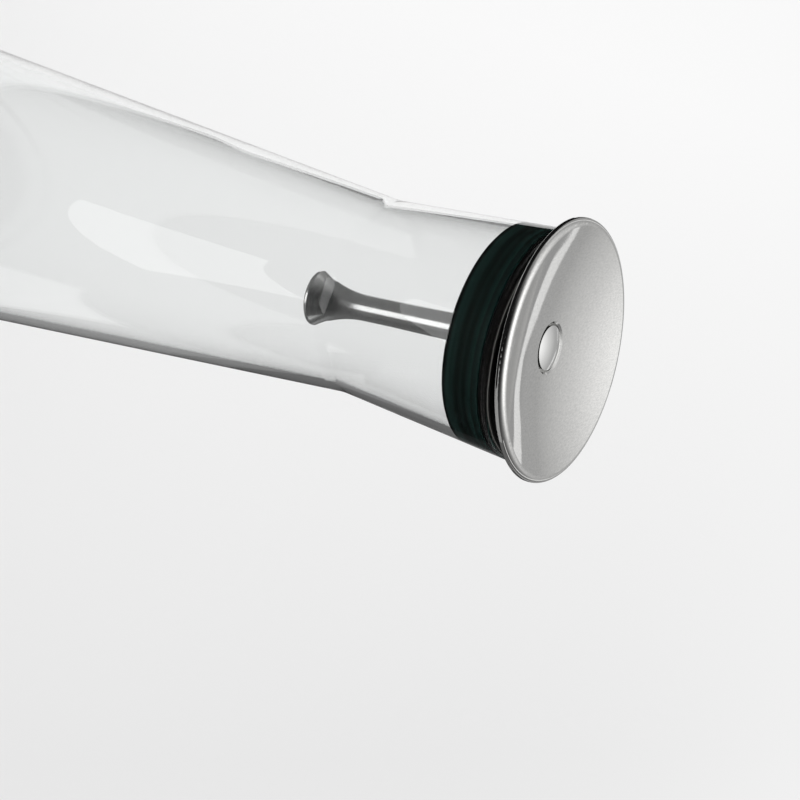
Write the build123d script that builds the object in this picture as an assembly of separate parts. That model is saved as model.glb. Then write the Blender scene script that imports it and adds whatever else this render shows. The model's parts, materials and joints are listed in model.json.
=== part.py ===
from build123d import *
from math import atan, cos, radians, sin, sqrt, tan
import os

# Water carafe with a gravity lid: millimetres, +Z up, origin under the middle of the base.
# The lid is stored rocked open about its +X edge, so the pouring side is -X.

# Glass body, whose cone radii are given at the base plane, the waist and the rim
glass_height = 287.1
base_radius = 47.9
waist_radius = 29.43
waist_height = 229.3
mouth_radius = 34.68
glass_wall = 2.4
floor_thickness = 5.0
punt_height = 2.6
punt_flat_radius = 12.0
foot_inner_radius = 33.0
foot_rounding = 6.0
punt_rounding = 60.0
heel_rounding = 9.0
floor_rounding = 8.0
waist_rounding = 26.0
rim_outer_rounding = 1.1
rim_inner_rounding = 0.8

# Silicone sleeve that lines the mouth: soft waves below, fine grooves under the rim, and a lip on the rim
sleeve_depth = 16.0
sleeve_wall = 2.6
sleeve_clearance = 0.2
sleeve_end_rounding = 1.2
sleeve_rounding = 0.5
wave_count = 2
wave_pitch = 4.4
wave_depth = 0.3
wave_half_width = 1.5
wave_rounding = 3.0
groove_count = 3
groove_pitch = 1.2
groove_depth = 0.4
groove_half_width = 0.35
lip_inset = 0.78
lip_height = 1.3
lip_rounding = 0.4

# Guide insert that the sleeve grips
insert_fit = 0.05
insert_wall = 1.5
insert_end_inset = 0.6
insert_top_depth = 3.0
insert_rounding = 0.4
hub_wall = 2.8
hub_height = 5.0
hub_head_clearance = 1.3
guide_play = 1.2
spoke_count = 4
spoke_width = 2.2
spoke_height = 3.6
spoke_sink = 0.7

# Lid dish of steel sheet, rolled into a solid rim that is rounded outside
lid_overhang = 5.1
lid_rim_height = 2.7
lid_rim_wall = 2.0
lid_rim_land = 2.2
lid_rim_rounding = 1.9
lid_hem_rounding = 0.35
lid_sheet = 1.0
dish_depth = 5.45
recess_clearance = 0.7
recess_depth = 1.4
recess_chamfer = 0.3
dimple_rounding = 0.6

# Lid backing, whose flat seat closes on the lip
seat_inset = 0.8
seat_gap = 0.05
seat_rounding = 0.15
back_thickness = 1.2
back_web = 0.2435
back_plug_clearance = 0.5
back_plug_slant = 1.0
back_flat_margin = 1.3
lid_fit = 0.05

# Cap screw with a domed head, its gasket and the washer under the backing
button_radius = 6.6
button_edge_height = 1.0
button_dome_height = 1.0
screw_radius = 2.0
screw_length = 11.0
screw_clearance = 0.2
gasket_thickness = 0.5
gasket_inset = 0.2
washer_thickness = 0.8
washer_radius = 7.0

# Stem and the stop that keeps it in the hub
stem_radius = 4.2
stem_waist_radius = 3.9
stem_taper_length = 12.0
shoulder_radius = 6.5
shoulder_height = 1.3
shoulder_rounding = 0.3
thread_gap = 0.05
stop_clearance = 0.3
stop_washer_radius = 7.6
stop_washer_thickness = 1.0
clip_radius = 6.2
clip_thickness = 0.8
clip_groove_depth = 0.8
clip_gap_width = 4.0

# Counterweight with a flared end, screwed on the stem
spigot_radius = 2.5
spigot_length = 9.0
weight_drop = 83.35
weight_length = 27.0
weight_radius = 8.2
flare_angle = 28.0
flare_rounding = 32.0
weight_edge_height = 1.1
weight_edge_rounding = 0.5
weight_end_bulge = 0.6
weight_end_radius = 4.0

# How far the lid rocks open
open_angle = 3.65


def glass_inner_radius(height):
    """Inner radius of the neck cone at a height."""
    slope = (mouth_radius - waist_radius) / (glass_height - waist_height)
    return waist_radius + slope * (height - waist_height) - glass_wall / cos(atan(slope))


def sleeve_radius(height):
    """Outer radius of the sleeve at a height."""
    return glass_inner_radius(height) - sleeve_clearance


# Radii and heights that follow, with the lid closed
sleeve_bottom = glass_height - sleeve_depth
sleeve_bore = glass_inner_radius(sleeve_bottom) - sleeve_clearance - sleeve_wall
lip_radius = mouth_radius - lip_inset
lip_top = glass_height + lip_height
seat_radius = lip_radius - seat_inset
seat_height = lip_top + seat_gap
lid_radius = lip_radius + lid_overhang
lid_bore = lid_radius - lid_rim_wall
face_edge_radius = lid_radius - lid_rim_land
face_ball_radius = (face_edge_radius**2 + dish_depth**2) / (2 * dish_depth)
plug_radius = sleeve_bore - back_plug_clearance
sheet_rise = face_ball_radius - sqrt((face_ball_radius + lid_sheet) ** 2 - plug_radius**2)
face_height = seat_height + back_web + lid_fit - sheet_rise
lid_top = face_height + dish_depth
lid_hem = lid_top - lid_rim_height
recess_radius = button_radius + recess_clearance
recess_floor = face_height - recess_depth
dimple_bottom = recess_floor - lid_sheet
dimple_radius = recess_radius + lid_sheet
back_bottom = dimple_bottom - lid_fit - back_thickness
gasket_top = recess_floor + gasket_thickness
stem_top = back_bottom - washer_thickness
hub_top = stem_top - shoulder_height - hub_head_clearance
hub_bottom = hub_top - hub_height
hub_bore = stem_radius + guide_play
hub_radius = hub_bore + hub_wall
stop_lift = (seat_radius + stop_washer_radius) * sin(radians(open_angle))
stop_top = hub_bottom - stop_lift - stop_clearance
clip_top = stop_top - stop_washer_thickness
clip_bottom = clip_top - clip_thickness
clip_bore = stem_radius - clip_groove_depth
weight_bottom = lid_top - weight_drop
weight_top = weight_bottom + weight_length
lid_hinge = Axis((seat_radius, 0, seat_height), (0, 1, 0))


def turned(corners):
    """Solid of revolution about Z from an outline of (radius, height, rounding) corners."""
    points = [Vector(radius, 0, height) for radius, height, rounding in corners]
    count = len(corners)
    starts = []
    ends = []
    edges = []
    for i in range(count):
        rounding = corners[i][2]
        if rounding == 0:
            starts.append(points[i])
            ends.append(points[i])
            continue
        back = (points[i - 1] - points[i]).normalized()
        ahead = (points[(i + 1) % count] - points[i]).normalized()
        half_angle = radians(back.get_angle(ahead)) / 2
        reach = rounding / tan(half_angle)
        inset = rounding / sin(half_angle) - rounding
        starts.append(points[i] + back * reach)
        ends.append(points[i] + ahead * reach)
        edges.append(ThreePointArc(starts[i], points[i] + (back + ahead).normalized() * inset, ends[i]))
    for i in range(count):
        edges.append(Line(ends[i - 1], starts[i]))
    return revolve(make_face(edges), Axis.Z)


def ring(bore, radius, bottom, top, rounding=0):
    """Ring about Z between two radii and two heights."""
    return turned([
        (bore, bottom, rounding),
        (radius, bottom, rounding),
        (radius, top, rounding),
        (bore, top, rounding),
    ])


def rod(radius, bottom, top):
    """Cylinder about Z between two heights."""
    return Pos(0, 0, bottom) * Cylinder(radius, top - bottom, align=(Align.CENTER, Align.CENTER, Align.MIN))


def face_ball(offset):
    """Ball that the dish face lies on, grown by an offset."""
    return Pos(0, 0, face_height + face_ball_radius) * Sphere(face_ball_radius + offset)


def sheet_underside(radius):
    """Height of the underside of the dish sheet at a radius."""
    return face_height + face_ball_radius - sqrt((face_ball_radius + lid_sheet) ** 2 - radius**2)


def make_glass_carafe():
    body_slope = (base_radius - waist_radius) / waist_height
    floor_height = punt_height + floor_thickness
    floor_radius = base_radius - body_slope * floor_height - glass_wall / cos(atan(body_slope))
    return turned([
        (0, punt_height, 0),
        (punt_flat_radius, punt_height, punt_rounding),
        (foot_inner_radius, 0, foot_rounding),
        (base_radius, 0, heel_rounding),
        (waist_radius, waist_height, waist_rounding),
        (mouth_radius, glass_height, rim_outer_rounding),
        (glass_inner_radius(glass_height), glass_height, rim_inner_rounding),
        (glass_inner_radius(waist_height), waist_height, waist_rounding + glass_wall),
        (floor_radius, floor_height, floor_rounding),
        (0, floor_height, 0),
    ])


def sleeve_notch(height, half_width, depth, rounding):
    """Corners of one groove round the sleeve, which lies along the glass."""
    return [
        (sleeve_radius(height - half_width), height - half_width, rounding / 2),
        (sleeve_radius(height) - depth, height, rounding),
        (sleeve_radius(height + half_width), height + half_width, rounding / 2),
    ]


def make_neck_seal():
    outline = [
        (sleeve_bore, lip_top, sleeve_rounding),
        (sleeve_bore, sleeve_bottom, sleeve_rounding),
        (sleeve_radius(sleeve_bottom), sleeve_bottom, sleeve_end_rounding),
    ]
    for i in range(wave_count):
        outline += sleeve_notch(sleeve_bottom + (i + 1) * wave_pitch, wave_half_width, wave_depth, wave_rounding)
    for i in range(groove_count):
        height = glass_height - (groove_count - i - 0.5) * groove_pitch
        outline += sleeve_notch(height, groove_half_width, groove_depth, 0)
    outline += [
        (sleeve_radius(glass_height), glass_height, 0),
        (lip_radius, glass_height, lip_rounding),
        (lip_radius, lip_top, lip_rounding),
    ]
    return turned(outline)


def make_guide_insert():
    ring_radius = sleeve_bore - insert_fit
    ring_bore = ring_radius - insert_wall
    ring_bottom = sleeve_bottom + insert_end_inset
    insert = ring(ring_bore, ring_radius, ring_bottom, lip_top - insert_top_depth, insert_rounding)
    insert += ring(hub_bore, hub_radius, hub_bottom, hub_top, insert_rounding)
    spoke_start = hub_radius - spoke_sink
    spoke_length = ring_bore + spoke_sink - spoke_start
    spoke_middle = (hub_bottom + hub_top) / 2
    for i in range(spoke_count):
        spoke = Pos(spoke_start + spoke_length / 2, 0, spoke_middle) * Box(spoke_length, spoke_width, spoke_height)
        insert += Rot(0, 0, (i + 0.5) * 360 / spoke_count) * spoke
    return insert


def make_lid_dish():
    sheet = rod(lid_bore, dimple_bottom, lid_top) & face_ball(lid_sheet)
    wall = turned([
        (lid_bore, lid_hem, lid_hem_rounding),
        (lid_radius, lid_hem, lid_hem_rounding),
        (lid_radius, lid_top, lid_rim_rounding),
        (lid_bore, lid_top, 0),
    ])
    dimple = turned([
        (0, dimple_bottom, 0),
        (dimple_radius, dimple_bottom, dimple_rounding),
        (dimple_radius, face_height, 0),
        (0, face_height, 0),
    ])
    recess = turned([
        (0, recess_floor, 0),
        (recess_radius, recess_floor, 0),
        (recess_radius, face_height - recess_chamfer, 0),
        (recess_radius + 2 * recess_chamfer, face_height + recess_chamfer, 0),
        (0, face_height + recess_chamfer, 0),
    ])
    screw_hole = rod(screw_radius + screw_clearance, dimple_bottom, recess_floor)
    return wall + (sheet - face_ball(0)) + dimple - recess - screw_hole


def make_lid_back():
    cone_radius = plug_radius - back_plug_slant
    hole_radius = screw_radius + screw_clearance
    plate = turned([
        (hole_radius, back_bottom, 0),
        (dimple_radius + back_flat_margin, back_bottom, 0),
        (cone_radius, sheet_underside(cone_radius) - back_thickness, seat_rounding),
        (plug_radius, seat_height, seat_rounding),
        (seat_radius, seat_height, seat_rounding),
        (seat_radius, lid_hem, 0),
        (lid_bore - lid_fit, lid_hem, 0),
        (lid_bore - lid_fit, lid_top, 0),
        (hole_radius, lid_top, 0),
    ])
    dimple_space = rod(dimple_radius + lid_fit, dimple_bottom - lid_fit, lid_top)
    return plate - face_ball(lid_sheet + lid_fit) - dimple_space


def make_cap_button():
    dome_radius = (button_radius**2 + button_dome_height**2) / (2 * button_dome_height)
    crown = gasket_top + button_edge_height + button_dome_height
    head = rod(button_radius, gasket_top, crown)
    head &= Pos(0, 0, crown - dome_radius) * Sphere(dome_radius)
    return head + rod(screw_radius, gasket_top - screw_length, gasket_top)


def make_button_gasket():
    return ring(screw_radius + thread_gap, button_radius - gasket_inset, recess_floor, gasket_top)


def make_clamp_washer():
    return ring(screw_radius + screw_clearance, washer_radius, stem_top, back_bottom)


def make_stem():
    shaft = turned([
        (0, weight_top - spigot_length, 0),
        (spigot_radius, weight_top - spigot_length, shoulder_rounding),
        (spigot_radius, weight_top, 0),
        (stem_waist_radius, weight_top, 0),
        (stem_radius, clip_bottom - stem_taper_length, 0),
        (stem_radius, clip_bottom, 0),
        (clip_bore, clip_bottom, 0),
        (clip_bore, clip_top, 0),
        (stem_radius, clip_top, 0),
        (stem_radius, stem_top - shoulder_height, shoulder_rounding),
        (shoulder_radius, stem_top - shoulder_height, shoulder_rounding),
        (shoulder_radius, stem_top, 0),
        (0, stem_top, 0),
    ])
    tapped_bottom = gasket_top - screw_length - screw_radius
    return shaft - rod(screw_radius + thread_gap, tapped_bottom, stem_top)


def make_stop_washer():
    return ring(stem_radius + thread_gap, stop_washer_radius, clip_top, stop_top)


def make_retaining_clip():
    clip = ring(clip_bore + thread_gap, clip_radius, clip_bottom, clip_top)
    gap = Pos(clip_radius, 0, (clip_bottom + clip_top) / 2) * Box(2 * clip_radius, clip_gap_width, clip_thickness)
    return clip - gap


def make_counterweight():
    edge_bottom = weight_bottom + weight_end_bulge
    edge_top = edge_bottom + weight_edge_height
    flare_start = edge_top + (weight_radius - stem_waist_radius) / tan(radians(flare_angle))
    return turned([
        (0, weight_bottom, 0),
        (weight_end_radius, weight_bottom, 0),
        (weight_radius, edge_bottom, weight_edge_rounding),
        (weight_radius, edge_top, weight_edge_rounding),
        (stem_waist_radius, flare_start, flare_rounding),
        (stem_waist_radius, weight_top, 0),
        (spigot_radius + thread_gap, weight_top, 0),
        (spigot_radius + thread_gap, weight_top - spigot_length - thread_gap, 0),
        (0, weight_top - spigot_length - thread_gap, 0),
    ])


parts = {
    "glass_carafe": make_glass_carafe(),
    "neck_seal": make_neck_seal(),
    "guide_insert": make_guide_insert(),
}
lid_parts = {
    "lid_dish": make_lid_dish(),
    "lid_back": make_lid_back(),
    "cap_button": make_cap_button(),
    "button_gasket": make_button_gasket(),
    "clamp_washer": make_clamp_washer(),
    "stem": make_stem(),
    "stop_washer": make_stop_washer(),
    "retaining_clip": make_retaining_clip(),
    "counterweight": make_counterweight(),
}
for name, part in lid_parts.items():
    parts[name] = part.rotate(lid_hinge, open_angle)

os.makedirs("parts", exist_ok=True)
for name, part in parts.items():
    export_step(part, f"parts/{name}.step")
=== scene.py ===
import json
import math
import bpy
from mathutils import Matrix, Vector


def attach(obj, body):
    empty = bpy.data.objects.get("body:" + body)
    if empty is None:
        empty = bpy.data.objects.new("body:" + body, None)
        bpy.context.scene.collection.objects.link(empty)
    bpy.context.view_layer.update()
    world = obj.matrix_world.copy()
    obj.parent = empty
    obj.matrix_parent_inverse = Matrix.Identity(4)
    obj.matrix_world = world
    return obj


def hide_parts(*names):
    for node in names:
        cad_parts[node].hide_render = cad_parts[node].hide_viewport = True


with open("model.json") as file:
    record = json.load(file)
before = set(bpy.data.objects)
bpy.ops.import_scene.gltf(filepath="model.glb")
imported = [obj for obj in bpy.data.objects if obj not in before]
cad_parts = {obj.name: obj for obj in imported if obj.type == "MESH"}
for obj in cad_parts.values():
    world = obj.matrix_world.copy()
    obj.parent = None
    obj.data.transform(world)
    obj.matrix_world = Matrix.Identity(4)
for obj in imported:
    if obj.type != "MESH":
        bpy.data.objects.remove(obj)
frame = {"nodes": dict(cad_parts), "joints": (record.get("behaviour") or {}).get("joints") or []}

scene = bpy.context.scene
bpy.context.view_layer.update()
nodes = frame["nodes"]
mm = 0.001

# the lid stands rocked open in the frame, so its own axis leans about the hinge
lidJoint = [joint for joint in frame["joints"] if joint["name"] == "lid_tilt"][0]
lidHinge = Vector(lidJoint["pos_m"])
lidLean = -math.radians(lidJoint["range_deg"][0])


# camera
shot = {
    "place": (0.03124, 0.99652, 0.74355),
    "turn": (-30.3233, -58.9346, -59.0166),  # rolled, so that the neck lies across the picture
    "lens": 171,
    "sensor": 36,
    "nearest": 0.01,
    "farthest": 50,
}


def standCamera():
    data = bpy.data.cameras.new("shotCamera")
    data.lens = shot["lens"]
    data.sensor_width = shot["sensor"]
    data.clip_start = shot["nearest"]
    data.clip_end = shot["farthest"]
    camera = bpy.data.objects.new("shotCamera", data)
    camera.location = shot["place"]
    camera.rotation_euler = [math.radians(angle) for angle in shot["turn"]]
    scene.collection.objects.link(camera)
    scene.camera = camera


standCamera()
print("camera set")


# node helpers
def newMaterial(name):
    material = bpy.data.materials.new(name)
    material.use_nodes = True
    shader = material.node_tree.nodes["Principled BSDF"]
    return material, material.node_tree, shader


def addNode(tree, kind, inputs=None, **settings):
    node = tree.nodes.new(kind)
    for key, value in settings.items():
        setattr(node, key, value)
    for key, value in (inputs or {}).items():
        if isinstance(value, bpy.types.NodeSocket):
            tree.links.new(value, node.inputs[key])
        else:
            node.inputs[key].default_value = value
    return node


def setInputs(tree, node, **values):
    for key, value in values.items():
        socket = node.inputs[key.replace("_", " ")]
        if isinstance(value, bpy.types.NodeSocket):
            tree.links.new(value, socket)
        else:
            socket.default_value = value


def maths(tree, operation, first, second=0.0):
    return addNode(tree, "ShaderNodeMath", {0: first, 1: second}, operation=operation).outputs[0]


def remap(tree, value, fromLow, fromHigh, toLow, toHigh, ease="SMOOTHSTEP"):
    inputs = {"Value": value, "From Min": fromLow, "From Max": fromHigh, "To Min": toLow, "To Max": toHigh}
    return addNode(tree, "ShaderNodeMapRange", inputs, interpolation_type=ease).outputs["Result"]


def ramp(tree, value, stops):
    # straight runs between (value, shade) stops
    node = addNode(tree, "ShaderNodeValToRGB", {"Fac": value})
    elements = node.color_ramp.elements
    while len(elements) < len(stops):
        elements.new(1.0)
    for element, (place, shade) in zip(elements, stops):
        element.position = place
        element.color = (shade, shade, shade, 1)
    return node.outputs["Color"]


def mixValues(tree, factor, low, high):
    return addNode(tree, "ShaderNodeMix", {0: factor, 2: low, 3: high}, data_type="FLOAT").outputs[0]


def mixColours(tree, factor, low, high):
    return addNode(tree, "ShaderNodeMix", {0: factor, 6: low, 7: high}, data_type="RGBA").outputs[2]


def noise(tree, place, scale, detail=3.0, roughness=0.55):
    inputs = {"Vector": place, "Scale": scale, "Detail": detail, "Roughness": roughness}
    return addNode(tree, "ShaderNodeTexNoise", inputs).outputs["Fac"]


def bumped(tree, height, strength, distance):
    inputs = {"Height": height, "Strength": strength, "Distance": distance}
    return addNode(tree, "ShaderNodeBump", inputs).outputs["Normal"]


def placeOn(tree, leaning):
    # object coordinates, turned so that the lid's pieces have their own axis along Z
    place = addNode(tree, "ShaderNodeTexCoord").outputs["Object"]
    if leaning:
        inputs = {"Vector": place, "Center": lidHinge, "Angle": -lidLean}
        place = addNode(tree, "ShaderNodeVectorRotate", inputs, rotation_type="Y_AXIS").outputs["Vector"]
    return place


def heightOf(tree, place):
    return addNode(tree, "ShaderNodeSeparateXYZ", {"Vector": place}).outputs["Z"]


def radiusOf(tree, place):
    split = addNode(tree, "ShaderNodeSeparateXYZ", {"Vector": place})
    flat = addNode(tree, "ShaderNodeCombineXYZ", {"X": split.outputs["X"], "Y": split.outputs["Y"]})
    return addNode(tree, "ShaderNodeVectorMath", {0: flat.outputs[0]}, operation="LENGTH").outputs["Value"]


# glass
# outline as (radius, height, rounding) in millimetres, from the punt round the outside to the floor inside
glassBody = {
    "outline": [
        (0, 2.6, 0), (12, 2.6, 60), (33, 0, 6), (47.88, 0.02, 9), (29.43, 229.3, 26), (34.67, 287.08, 1.1),
        (31.53, 287.08, 0.5), (30.20, 272.4, 0), (30.91, 272.0, 0),  # thicker here, to meet the sleeve
        (27.03, 229.3, 28.4), (44.87, 7.6, 8), (0, 7.6, 0),
    ],
    "aroundSteps": 256,
    "arcSteps": 14,
    "colour": (0.985, 0.992, 0.990, 1),
    "paintedEdgeShade": (0.25, 0.26, 0.26, 1),   # painted shade: glass looked at along its skin is darkened, standing in for the dark surroundings it would show there
    "edgeFrom": 0.84,
    "edgeTo": 0.97,
    "ior": 1.5,
    "waves": {"scale": 28, "detail": 2, "roughness": 0.4},
    "waveStrength": 0.02,
    "waveHeight": 2 * mm,
}
onAxis = 1e-6   # a radius under this is a point on the axis


def roundOutline(corners, arcSteps):
    # points along the outline, and for each run between two points its direction at either end
    points, runs = [], []
    spots = [Vector(corner[:2]) for corner in corners]
    for i, corner in enumerate(corners):
        rounding = corner[2]
        if i in (0, len(corners) - 1) or rounding == 0:
            newPoints, newRuns = [spots[i]], []
        else:
            ahead = (spots[i + 1] - spots[i]).normalized()
            back = (spots[i] - spots[i - 1]).normalized()
            turn = math.atan2(back.x * ahead.y - back.y * ahead.x, back.dot(ahead))
            side = 1 if turn > 0 else -1
            start = spots[i] - back * rounding * math.tan(abs(turn) / 2)
            centre = start + Vector((-back.y, back.x)) * rounding * side
            newPoints, headings = [], []
            for k in range(arcSteps + 1):
                angle = turn * k / arcSteps
                heading = Vector((back.x * math.cos(angle) - back.y * math.sin(angle),
                                  back.x * math.sin(angle) + back.y * math.cos(angle)))
                headings.append(heading)
                newPoints.append(centre - Vector((-heading.y, heading.x)) * rounding * side)
            newRuns = list(zip(headings[:-1], headings[1:]))
        if points:
            straight = (newPoints[0] - points[-1]).normalized()
            runs.append((straight, straight))
        points += newPoints
        runs += newRuns
    return points, runs


def lathe(name, corners, aroundSteps, arcSteps):
    points, runs = roundOutline(corners, arcSteps)
    verts, rings = [], []
    for point in points:
        if point.x < onAxis:
            rings.append([len(verts)] * aroundSteps)
            verts.append((0, 0, point.y * mm))
            continue
        rings.append(list(range(len(verts), len(verts) + aroundSteps)))
        for k in range(aroundSteps):
            angle = 2 * math.pi * k / aroundSteps
            verts.append((point.x * mm * math.cos(angle), point.x * mm * math.sin(angle), point.y * mm))
    faces, normals = [], []
    for i, (startWay, endWay) in enumerate(runs):
        for k in range(aroundSteps):
            nextK = (k + 1) % aroundSteps
            face, faceNormals = [], []
            for ring, way, spoke in ((rings[i], startWay, k), (rings[i], startWay, nextK),
                                     (rings[i + 1], endWay, nextK), (rings[i + 1], endWay, k)):
                if ring[spoke] in face:
                    continue
                angle = 2 * math.pi * spoke / aroundSteps
                face.append(ring[spoke])
                faceNormals.append((way.y * math.cos(angle), way.y * math.sin(angle), -way.x))
            faces.append(face)
            normals += faceNormals
    mesh = bpy.data.meshes.new(name)
    mesh.from_pydata(verts, [], faces)
    mesh.polygons.foreach_set("use_smooth", [True] * len(faces))
    mesh.normals_split_custom_set(normals)
    piece = bpy.data.objects.new(name, mesh)
    scene.collection.objects.link(piece)
    return piece


def clearGlass(name, darkEdge):
    material, tree, shader = newMaterial(name)
    colour = glassBody["colour"]
    if darkEdge:
        # painted shade: the glass's colour turns dark grey towards its edges, where it is seen along its
        # skin
        facing = addNode(tree, "ShaderNodeLayerWeight", {"Blend": 0.5}).outputs["Facing"]
        atEdge = remap(tree, facing, glassBody["edgeFrom"], glassBody["edgeTo"], 0.0, 1.0)
        colour = mixColours(tree, atEdge, colour, glassBody["paintedEdgeShade"])
    waves = noise(tree, placeOn(tree, False), **glassBody["waves"])
    setInputs(tree, shader, Base_Color=colour, Roughness=0.0, IOR=glassBody["ior"], Transmission_Weight=1.0,
              Normal=bumped(tree, waves, glassBody["waveStrength"], glassBody["waveHeight"]))
    return material


def makeGlass():
    piece = lathe("glass_body", glassBody["outline"], glassBody["aroundSteps"], glassBody["arcSteps"])
    piece.data.materials.append(clearGlass("clearGlassOutside", True))
    piece.data.materials.append(clearGlass("clearGlassInside", False))
    for face in piece.data.polygons:
        outward = face.normal.x * face.center.x + face.normal.y * face.center.y
        face.material_index = 0 if outward > 0 else 1
    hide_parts("glass_carafe")
    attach(piece, "carafe")


makeGlass()
print("glass blown")


# seal
sealRubber = {
    "green": (0.0120, 0.0400, 0.0340, 1),
    "brown": (0.150, 0.150, 0.140, 1),   # where the fine grooves are, and the top of the painted highlight along the lip
    "brownFrom": 284.2 * mm,
    "brownTo": 284.9 * mm,
    "roughness": 0.42,
    "gloss": 0.15,
    "low": 271 * mm,
    "high": 288.4 * mm,
    # painted highlights and painted shade: paler and darker bands by height, standing in for the light on
    # the seal's soft waves, with a painted highlight along the lip's top edge: (share of the height, shade)
    "rings": ((0.0, 0.10), (0.08, 0.12), (0.13, 0.90), (0.23, 0.80), (0.29, 0.32), (0.35, 0.28),
              (0.41, 0.50), (0.49, 0.30), (0.55, 0.75), (0.59, 1.0), (0.63, 0.36), (0.70, 0.75),
              (0.735, 1.0), (0.77, 0.02), (0.81, 0.11), (0.85, 0.015), (0.90, 0.11), (0.94, 0.02),
              (0.958, 0.3), (0.968, 1.0), (0.98, 0.05)),
    "smears": {"scale": 60, "detail": 2},
    "smearFrom": 0.3,
    "smearTo": 0.7,
    "smearReach": 0.012,        # how far the rings wander, as a share of the height
    "grain": {"scale": 900, "detail": 2},
    "grainStrength": 0.12,
    "grainHeight": 0.2 * mm,
}


def blackSilicone():
    material, tree, shader = newMaterial("blackSilicone")
    place = placeOn(tree, False)
    height = heightOf(tree, place)
    above = remap(tree, height, sealRubber["brownFrom"], sealRubber["brownTo"], 0.0, 1.0)
    colour = mixColours(tree, above, sealRubber["green"], sealRubber["brown"])
    share = remap(tree, height, sealRubber["low"], sealRubber["high"], 0.0, 1.0, "LINEAR")
    reach = sealRubber["smearReach"]
    smears = noise(tree, place, **sealRubber["smears"])
    wander = remap(tree, smears, sealRubber["smearFrom"], sealRubber["smearTo"], -reach, reach, "LINEAR")
    # painted highlights and shade: the bands multiply the rubber's colour by height
    rings = ramp(tree, maths(tree, "ADD", share, wander), sealRubber["rings"])
    colourWithPaintedBands = addNode(tree, "ShaderNodeVectorMath", {0: colour, 1: rings}, operation="MULTIPLY").outputs[0]
    grain = noise(tree, place, **sealRubber["grain"])
    setInputs(tree, shader, Base_Color=colourWithPaintedBands, Roughness=sealRubber["roughness"],
              Specular_IOR_Level=sealRubber["gloss"],
              Normal=bumped(tree, grain, sealRubber["grainStrength"], sealRubber["grainHeight"]))
    return material


# plastic
mouldedPlastic = {
    "colour": (0.008, 0.008, 0.008, 1),
    "roughness": 0.38,
    "grain": {"scale": 1400, "detail": 2},
    "grainStrength": 0.1,
    "grainHeight": 0.1 * mm,
}


def blackPlastic():
    material, tree, shader = newMaterial("blackPlastic")
    grain = noise(tree, placeOn(tree, False), **mouldedPlastic["grain"])
    setInputs(tree, shader, Base_Color=mouldedPlastic["colour"], Roughness=mouldedPlastic["roughness"],
              Normal=bumped(tree, grain, mouldedPlastic["grainStrength"], mouldedPlastic["grainHeight"]))
    return material


# lid steel
lidSteel = {
    "colour": (0.725, 0.72, 0.705, 1),
    "colourInGrain": (0.575, 0.575, 0.565, 1),
    "shadeFrom": 0.35,
    "shadeTo": 0.65,
    "faceRoughness": 0.12,
    "rimRoughness": 0.035,
    "polishedFrom": 8 * mm,
    "polishedTo": 15 * mm,
    "grainTurn": -53.5,         # degrees round the lid's axis
    "grainStretch": 4.0,
    "grain": {"scale": 4000, "detail": 3, "roughness": 0.6},
    "faceGrain": 0.12,
    "rimGrain": 0.03,
    "grainHeight": 0.1 * mm,
}


def lidFinish():
    material, tree, shader = newMaterial("satinLidSteel")
    place = placeOn(tree, True)
    inputs = {"Vector": place, "Rotation": (0, 0, math.radians(lidSteel["grainTurn"])),
              "Scale": (lidSteel["grainStretch"], 1.0, 1.0)}
    brushed = addNode(tree, "ShaderNodeMapping", inputs, vector_type="TEXTURE").outputs["Vector"]
    grain = noise(tree, brushed, **lidSteel["grain"])
    onRim = remap(tree, radiusOf(tree, place), lidSteel["polishedFrom"], lidSteel["polishedTo"], 0.0, 1.0)
    roughness = mixValues(tree, onRim, lidSteel["faceRoughness"], lidSteel["rimRoughness"])
    grainShade = remap(tree, grain, lidSteel["shadeFrom"], lidSteel["shadeTo"], 0.0, 1.0, "LINEAR")
    colour = mixColours(tree, grainShade, lidSteel["colourInGrain"], lidSteel["colour"])
    grainStrength = mixValues(tree, onRim, lidSteel["faceGrain"], lidSteel["rimGrain"])
    setInputs(tree, shader, Base_Color=colour, Metallic=1.0, Roughness=roughness,
              Normal=bumped(tree, grain, grainStrength, lidSteel["grainHeight"]))
    return material


# button steel
buttonSteel = {
    "colour": (0.70, 0.70, 0.69, 1),
    "smudges": {"scale": 180, "detail": 3},
    "smudgeFrom": 0.3,
    "smudgeTo": 0.7,
    "smoothest": 0.08,
    "roughest": 0.14,
}


def polishedSteel():
    material, tree, shader = newMaterial("polishedButtonSteel")
    smudges = noise(tree, placeOn(tree, True), **buttonSteel["smudges"])
    roughness = remap(tree, smudges, buttonSteel["smudgeFrom"], buttonSteel["smudgeTo"],
                      buttonSteel["smoothest"], buttonSteel["roughest"], "LINEAR")
    setInputs(tree, shader, Base_Color=buttonSteel["colour"], Metallic=1.0, Roughness=roughness)
    return material


# stem steel
stemSteel = {
    "colour": (0.60, 0.60, 0.595, 1),
    "ringStretch": (0.06, 0.06, 1.0),   # the grain runs round the rod
    "grain": {"scale": 4200, "detail": 3, "roughness": 0.6},
    "grainFrom": 0.3,
    "grainTo": 0.7,
    "smoothest": 0.15,
    "roughest": 0.24,
    "grainStrength": 0.12,
    "grainHeight": 0.1 * mm,
}


def turnedSteel():
    material, tree, shader = newMaterial("turnedStemSteel")
    inputs = {"Vector": placeOn(tree, True), "Scale": stemSteel["ringStretch"]}
    rings = addNode(tree, "ShaderNodeMapping", inputs).outputs["Vector"]
    grain = noise(tree, rings, **stemSteel["grain"])
    roughness = remap(tree, grain, stemSteel["grainFrom"], stemSteel["grainTo"],
                      stemSteel["smoothest"], stemSteel["roughest"], "LINEAR")
    setInputs(tree, shader, Base_Color=stemSteel["colour"], Metallic=1.0, Roughness=roughness,
              Normal=bumped(tree, grain, stemSteel["grainStrength"], stemSteel["grainHeight"]))
    return material


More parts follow.
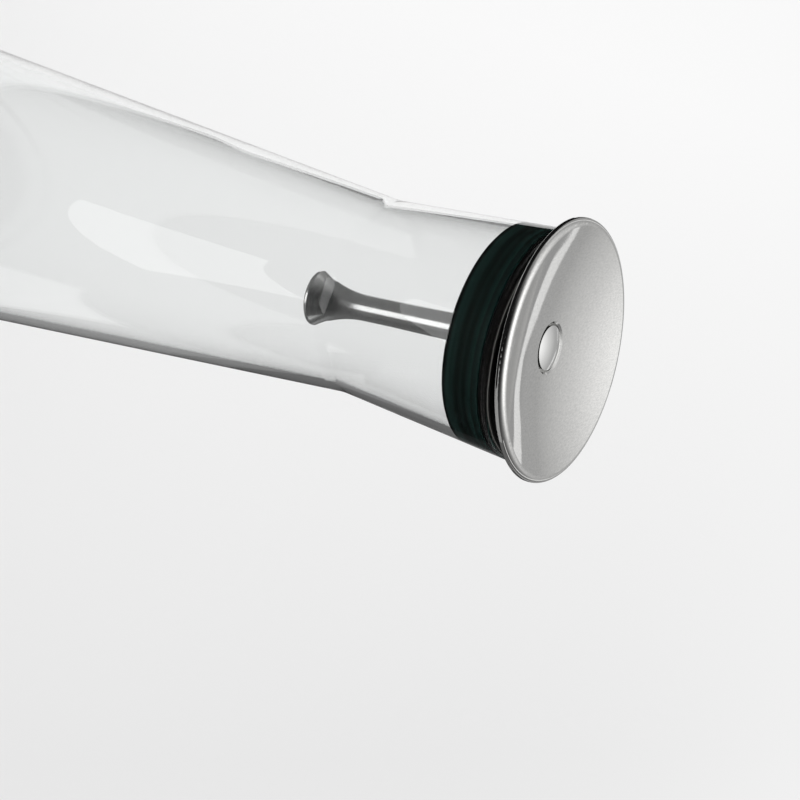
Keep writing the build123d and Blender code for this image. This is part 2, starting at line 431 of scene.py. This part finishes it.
def dressNodes():
    finishes = (
        (blackSilicone(), ("neck_seal", "button_gasket")),
        (blackPlastic(), ("guide_insert", "lid_back", "stop_washer")),
        (lidFinish(), ("lid_dish",)),
        (polishedSteel(), ("cap_button",)),
        (turnedSteel(), ("stem", "counterweight", "retaining_clip", "clamp_washer")),
    )
    for material, names in finishes:
        for name in names:
            nodes[name].data.materials.clear()
            nodes[name].data.materials.append(material)


dressNodes()
print("materials on")


# studio
studio = {
    "roomGlow": 1.0,            # what lights everything, even all round
    "backdropGlow": 0.92,
    "floorHalf": 4,
    "floorRoughness": 0.9,
    "blendFrom": 0.6,           # metres out, where the floor starts to turn into the backdrop
    "blendTo": 1.6,
    "floorPale": 0.955,
    "floorPaintedShade": 0.81,           # painted shade: the floor's colour darkens towards -X, the bottom of the picture, standing in for light falling off there
    "paleAt": 0.11,
    "dimAt": -0.22,
    "mirrorGlow": 1.75,         # the brightest part of what steel and glass mirror, the ceiling
    # share of mirrorGlow at each sine of the height above the horizon
    "upward": ((0.10, 0.225), (0.20, 0.275), (0.35, 0.29), (0.50, 0.385), (0.65, 0.49), (0.80, 0.66),
               (0.97, 1.0)),
    # how that dims towards the front, +Y, and towards the pouring side, -X
    "toFront": ((0.0, 1.0), (0.10, 1.0), (0.28, 0.75), (0.50, 0.5), (0.62, 0.3), (0.83, 0.1), (0.97, 0.02)),
    "toPouringSide": ((0.0, 1.0), (0.30, 0.95), (0.50, 0.6), (0.80, 0.3), (1.0, 0.25)),
    "windowGlow": 0.93,         # a low pale strip behind, which the dish shows as a crescent
    "windowHalf": 0.2,
    # its lower and upper edge: (share of its width, sine of the height above the horizon)
    "windowLow": ((0.0, 0.18), (0.2, 0.20), (0.3, 0.12), (0.5, 0.09), (0.6, 0.06), (0.7, 0.08)),
    "windowHigh": ((0.0, 0.29), (0.25, 0.24), (0.45, 0.20), (0.55, 0.13), (0.65, 0.14), (0.75, 0.18)),
}
# cards on the floor, which only mirrors show: lowest corner, highest corner, height,
# glow in what is mirrored outside the glass, glow in what is mirrored inside it
cards = {
    "back_left_near_card": ((-3.9, -0.29), (-0.06, -0.1), 0.002, 0.05, 0.36),
    "back_left_card": ((-3.9, -0.34), (-0.06, -0.29), 0.002, 0.05, 0.27),
    "back_left_far_card": ((-3.9, -0.9), (-0.06, -0.34), 0.002, 0.05, 0.17),
    "grazed_near_card": ((-0.30, -0.50), (-0.06, -0.42), 0.003, 0.10, 0.17),
    "grazed_card": ((-0.25, -0.58), (-0.06, -0.50), 0.003, 0.22, 0.17),
    "grazed_far_card": ((-0.20, -0.90), (-0.06, -0.58), 0.003, 0.42, 0.17),
    "far_card": ((-3.9, -3.9), (3.9, -0.9), 0.002, 0.40, 0.40),
    "left_low_card": ((-3.9, -0.7), (-0.5, -0.06), 0.003, 0.17, 0.17),
    "left_card": ((-3.9, -0.1), (-0.5, 3.9), 0.002, 0.42, 0.14),
    "low_side_card": ((-0.5, -0.32), (-0.34, 0.12), 0.003, 0.01, 0.14),
    "right_card": ((0.285, -0.9), (3.9, 3.9), 0.002, 0.01, 0.20),
    "front_card": ((-0.5, 0.12), (0.285, 3.9), 0.002, 0.01, 0.22),
    "front_right_card": ((0.22, -0.25), (0.285, 0.12), 0.003, 0.01, 0.20),
    "stem_card": ((-0.26, 0.36), (0.08, 0.60), 0.004, 0.01, 2.4),
}


def flatSheet(name, low, high, height):
    mesh = bpy.data.meshes.new(name)
    corners = [(low[0], low[1], height), (high[0], low[1], height),
               (high[0], high[1], height), (low[0], high[1], height)]
    mesh.from_pydata(corners, [], [(0, 1, 2, 3)])
    sheet = bpy.data.objects.new(name, mesh)
    scene.collection.objects.link(sheet)
    return sheet


def hasBounced(tree, path, kind):
    # 1 once a ray has been mirrored ("Glossy") or has gone through glass ("Transmission"), else 0
    return maths(tree, "GREATER_THAN", path.outputs[kind + " Depth"], 0.5)


def layFloor():
    half = studio["floorHalf"]
    floor = flatSheet("paper_floor", (-half, -half), (half, half), 0)
    material, tree, shader = newMaterial("palePaper")
    place = placeOn(tree, False)
    # painted shade: the floor is painted darker towards -X, as if the light fell off there
    across = addNode(tree, "ShaderNodeSeparateXYZ", {"Vector": place}).outputs["X"]
    near = remap(tree, across, studio["dimAt"], studio["paleAt"], studio["floorPaintedShade"], studio["floorPale"],
                 "LINEAR")
    reach = addNode(tree, "ShaderNodeVectorMath", {0: place}, operation="LENGTH").outputs["Value"]
    farAway = remap(tree, reach, studio["blendFrom"], studio["blendTo"], 0.0, 1.0)
    shade = mixValues(tree, farAway, near, studio["backdropGlow"])
    colour = addNode(tree, "ShaderNodeCombineColor", {"Red": shade, "Green": shade, "Blue": shade})
    setInputs(tree, shader, Base_Color=colour.outputs[0], Roughness=studio["floorRoughness"],
              Specular_IOR_Level=0.0)
    floor.data.materials.append(material)


def layCards():
    for name, (low, high, height, glow, glowInside) in cards.items():
        card = flatSheet(name, low, high, height)
        material, tree, shader = newMaterial(name + "Paper")
        tree.nodes.remove(shader)
        path = addNode(tree, "ShaderNodeLightPath")
        mirrored = hasBounced(tree, path, "Glossy")
        insideGlass = hasBounced(tree, path, "Transmission")
        clear = addNode(tree, "ShaderNodeBsdfTransparent")
        strength = mixValues(tree, insideGlass, glow, glowInside)
        paper = addNode(tree, "ShaderNodeEmission", {"Strength": strength})
        both = addNode(tree, "ShaderNodeMixShader", {0: mirrored, 1: clear.outputs[0], 2: paper.outputs[0]})
        tree.links.new(both.outputs[0], tree.nodes["Material Output"].inputs["Surface"])
        material.cycles.emission_sampling = "NONE"
        card.data.materials.append(material)


def lightStudio():
    world = bpy.data.worlds.new("studioAir")
    scene.world = world
    world.use_nodes = True
    world.cycles.sampling_method = "NONE"
    tree = world.node_tree
    background = tree.nodes["Background"]
    way = addNode(tree, "ShaderNodeTexCoord").outputs["Generated"]
    split = addNode(tree, "ShaderNodeSeparateXYZ", {"Vector": way})
    side, front, rise = split.outputs["X"], split.outputs["Y"], split.outputs["Z"]
    upward = ramp(tree, rise, studio["upward"])
    toFront = ramp(tree, front, studio["toFront"])
    toPouringSide = ramp(tree, maths(tree, "MULTIPLY", side, -1.0), studio["toPouringSide"])
    dimmed = maths(tree, "MULTIPLY", maths(tree, "MULTIPLY", upward, toFront), toPouringSide)
    wall = maths(tree, "MULTIPLY", dimmed, studio["mirrorGlow"])
    across = remap(tree, side, -studio["windowHalf"], studio["windowHalf"], 0.0, 1.0, "LINEAR")
    aboveLow = maths(tree, "GREATER_THAN", rise, ramp(tree, across, studio["windowLow"]))
    underHigh = maths(tree, "LESS_THAN", rise, ramp(tree, across, studio["windowHigh"]))
    behind = maths(tree, "LESS_THAN", front, 0.0)
    inWindow = maths(tree, "MULTIPLY", maths(tree, "MULTIPLY", aboveLow, underHigh), behind)
    inMirror = mixValues(tree, inWindow, wall, studio["windowGlow"])
    path = addNode(tree, "ShaderNodeLightPath")
    mirrored = hasBounced(tree, path, "Glossy")
    seen = mixValues(tree, mirrored, studio["backdropGlow"], inMirror)
    strength = mixValues(tree, path.outputs["Is Diffuse Ray"], seen, studio["roomGlow"])
    setInputs(tree, background, Color=(1, 1, 1, 1), Strength=strength)


layFloor()
layCards()
lightStudio()
scene.view_settings.view_transform = "Standard"
print("studio lit")
